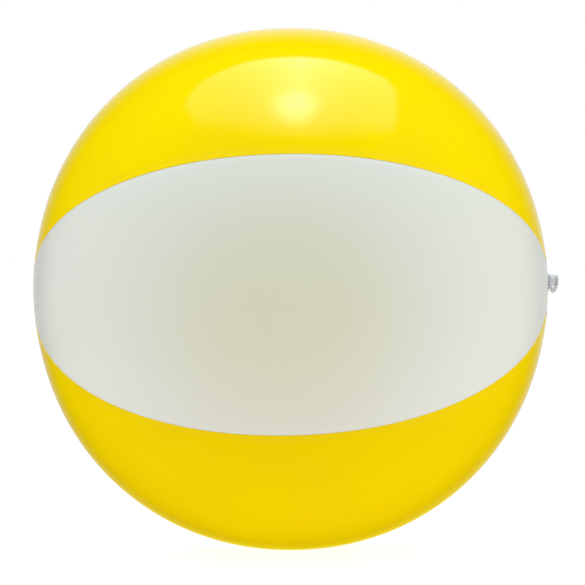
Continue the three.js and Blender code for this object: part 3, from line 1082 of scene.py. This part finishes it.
world = bpy.data.worlds.new("studio")
bpy.context.scene.world = world
world.use_nodes = True
world.cycles.sampling_method = "NONE"
tree = world.node_tree
sky = tree.nodes["Background"]
way = add(tree, "SeparateXYZ")
feed(tree, way.inputs[0], add(tree, "TexCoord").outputs["Generated"])
sideways, backward, upward = way.outputs

even_light = calc(tree, "MULTIPLY_ADD", sideways, FROM_VALVE_SIDE, EVEN_LIGHT)
even_light = calc(tree, "MULTIPLY_ADD", upward, FROM_ABOVE, even_light)
both_sides = calc(tree, "MULTIPLY", sideways, sideways)
even_light = calc(tree, "MULTIPLY_ADD", both_sides, FROM_BOTH_SIDES, even_light)
squared = calc(tree, "MULTIPLY", upward, upward)
even_light = calc(tree, "MULTIPLY_ADD", squared, FROM_TOP_AND_FLOOR, even_light)

above = calc(tree, "GREATER_THAN", upward, 0.0)
reach = calc(tree, "MULTIPLY_ADD", above, BACKDROP_ABOVE - BACKDROP_BELOW, BACKDROP_BELOW)
height = calc(tree, "DIVIDE", squared, calc(tree, "MULTIPLY", reach, reach))
width = calc(tree, "DIVIDE", both_sides, BACKDROP_SIDE**2)
wall = calc(tree, "EXPONENT", calc(tree, "MULTIPLY", calc(tree, "ADD", height, width), -1.0))
behind = calc(tree, "MULTIPLY_ADD", upward, BACKDROP_RISE, backward)
wall = calc(tree, "MULTIPLY", wall, spread(tree, behind, BACKDROP_EDGE, 1.0, 0.0, 1.0))
backdrop = calc(tree, "MULTIPLY_ADD", wall, BACKDROP_GLOW, ROOM_GLOW)

path = add(tree, "LightPath").outputs
lit = add(tree, "Mix", data_type="FLOAT")
feed(tree, lit.inputs[0], path["Is Glossy Ray"])
feed(tree, lit.inputs[2], even_light)
feed(tree, lit.inputs[3], backdrop)
clear = calc(tree, "MAXIMUM", path["Is Camera Ray"], path["Is Transmission Ray"])
level_of = add(tree, "Mix", data_type="FLOAT")
feed(tree, level_of.inputs[0], clear)
feed(tree, level_of.inputs[2], lit.outputs[0])
level_of.inputs[3].default_value = 1.0
feed(tree, sky.inputs["Strength"], level_of.outputs[0])
near_ball = calc(tree, "DIVIDE", both_sides, -FLOOR_TINT_WIDTH**2)
tinted = spread(tree, upward, *FLOOR_TINT_SPAN, 1.0, 0.0)
tinted = calc(tree, "MULTIPLY", tinted, calc(tree, "EXPONENT", near_ball))
mirrored = mixed(tree, tinted, PLAIN_WHITE, FLOOR_TINT)
high = spread(tree, upward, -1.0, 1.0, 0.0, 1.0, False)
shed = mixed(tree, high, COLOUR_BELOW, COLOUR_ABOVE)
colour = mixed(tree, path["Is Glossy Ray"], shed, mirrored)
feed(tree, sky.inputs["Color"], mixed(tree, clear, colour, PLAIN_WHITE))
print("world of", len(tree.nodes), "nodes made")

# %% [markdown]
# ## Softbox
# One large softbox hangs over the ball, and it shows as the soft window on the upper gore. It is
# a glowing card with a rounded outline and a hot middle, where its lamp is. An area lamp would be
# evenly bright, so the card is a fine grid, and each of its points keeps the glow that it gives.
# Only mirrored rays see it, since the world already gives the soft light.

# %% Glow of the softbox
SOFTBOX_HEIGHT = 1.0
SOFTBOX_OUTLINE = [
    (-0.58, 0.1), (-0.55, 0.2), (-0.43, 0.34), (-0.2, 0.43), (0.2, 0.47), (0.48, 0.475),
    (0.56, 0.37), (0.64, 0.12), (0.7, -0.14), (0.66, -0.36), (0.4, -0.52), (-0.3, -0.52),
    (-0.56, -0.3),
]
SOFTBOX_LAMP = (0.045, -0.187)
SOFTBOX_CELL = 0.02
CLOTH_GLOW = 0.62
FRAME_GLOW, FRAME_REACH = 2.2, 0.18
LAMP_GLOW = 3.8
LAMP_WIDTH, LAMP_LENGTH = 0.105, 0.145
LAMP_FLATNESS = 3
SIDE_GAIN = 0.3
EDGE_SOFTNESS = 0.07
FRONT_SHADE = 0.3
FRONT_SPAN = (-0.35, -0.05)
NEAR_LEAN, NEAR_BOW = 0.12, 0.8
NEAR_SPAN = (-0.53, -0.3)


def inside_outline(x, y):
    depths = []
    for (ax, ay), (bx, by) in zip(SOFTBOX_OUTLINE, SOFTBOX_OUTLINE[1:] + SOFTBOX_OUTLINE[:1]):
        depth = (x - ax) * (by - ay) - (y - ay) * (bx - ax)
        depths.append(depth / math.hypot(bx - ax, by - ay))
    return np.min(depths, axis=0)


def softbox_glow(x, y):
    aside = x - SOFTBOX_LAMP[0]
    from_lamp = np.hypot(aside / LAMP_WIDTH, (y - SOFTBOX_LAMP[1]) / LAMP_LENGTH)
    glow = CLOTH_GLOW + FRAME_GLOW * np.exp(-np.abs(aside) / FRAME_REACH)
    front = 1 - FRONT_SHADE + FRONT_SHADE * ramp(y, *FRONT_SPAN)
    glow = glow * (1 + SIDE_GAIN * x) * front
    glow = glow + LAMP_GLOW * np.exp(-(from_lamp**LAMP_FLATNESS))
    near_fade = ramp(y + NEAR_LEAN * x - NEAR_BOW * x * x, *NEAR_SPAN)
    return glow * near_fade * ramp(inside_outline(x, y), 0, EDGE_SOFTNESS)


print("softbox", SOFTBOX_HEIGHT, "m over the ball's centre")

# %% Softbox
def softbox_mesh():
    corners = np.array(SOFTBOX_OUTLINE)
    lines = [
        np.arange(low, high + SOFTBOX_CELL, SOFTBOX_CELL)
        for low, high in zip(corners.min(axis=0), corners.max(axis=0))
    ]
    x, y = [side.ravel() for side in np.meshgrid(*lines)]
    step = len(lines[0])
    faces = [
        [j * step + i, (j + 1) * step + i, (j + 1) * step + i + 1, j * step + i + 1]
        for j in range(len(lines[1]) - 1) for i in range(step - 1)
    ]
    height = np.full(len(x), centre_height + SOFTBOX_HEIGHT)
    card = mesh_object("softbox", np.stack([x, y, height], axis=-1), faces)
    measure = card.data.attributes.new("glow", "FLOAT", "POINT")
    measure.data.foreach_set("value", softbox_glow(x, y).astype(np.float32))
    return card


softbox = softbox_mesh()
softbox.visible_camera = False
softbox.visible_diffuse = False
softbox.visible_transmission = False
softbox.visible_shadow = False

softbox_cloth, tree, shader = new_material(
    "softbox_cloth", Base_Color=(0, 0, 0, 1), Specular_IOR_Level=0.0, Emission_Color=PLAIN_WHITE,
)
glow = add(tree, "Attribute", attribute_name="glow").outputs["Fac"]
feed(tree, shader.inputs["Emission Strength"], glow)
softbox.data.materials.append(softbox_cloth)
print("softbox of", len(softbox.data.polygons), "cells")

# %% [markdown]
# ## Last steps
# Colours are shown as they are, with the standard view.

# %% Standard view
bpy.context.scene.view_settings.view_transform = "Standard"
